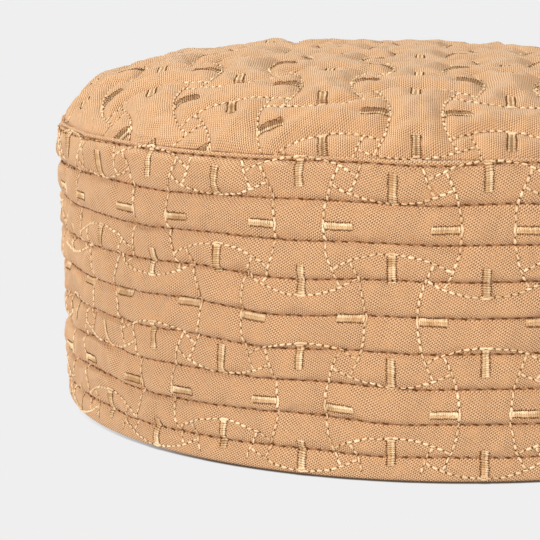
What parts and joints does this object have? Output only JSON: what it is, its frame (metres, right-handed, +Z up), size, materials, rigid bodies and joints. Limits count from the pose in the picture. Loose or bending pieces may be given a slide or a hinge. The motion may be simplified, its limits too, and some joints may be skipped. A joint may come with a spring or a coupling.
{
  "type": "prayer cap",
  "caption": "Round prayer cap with an upright padded wall of stitched ribs and a quilted, slightly domed top panel set inside a folded lip.",
  "frame": {"origin": "on the cap's axis, in the plane that the hem rests on", "axes": "+Z up through the middle of the top panel, -Y towards the side that the picture shows"},
  "size_m": [0.1882, 0.1882, 0.0841],
  "materials": {
    "wall_cloth": "plain woven cotton, tan, quilted and embroidered",
    "top_cloth": "plain woven cotton, tan, quilted and embroidered",
    "thread": "pale gold rayon embroidery thread, satin sheen"
  },
  "bodies": {
    "root": {"side_band": "wall_cloth", "crown": "top_cloth"}
  },
  "joints": []
}
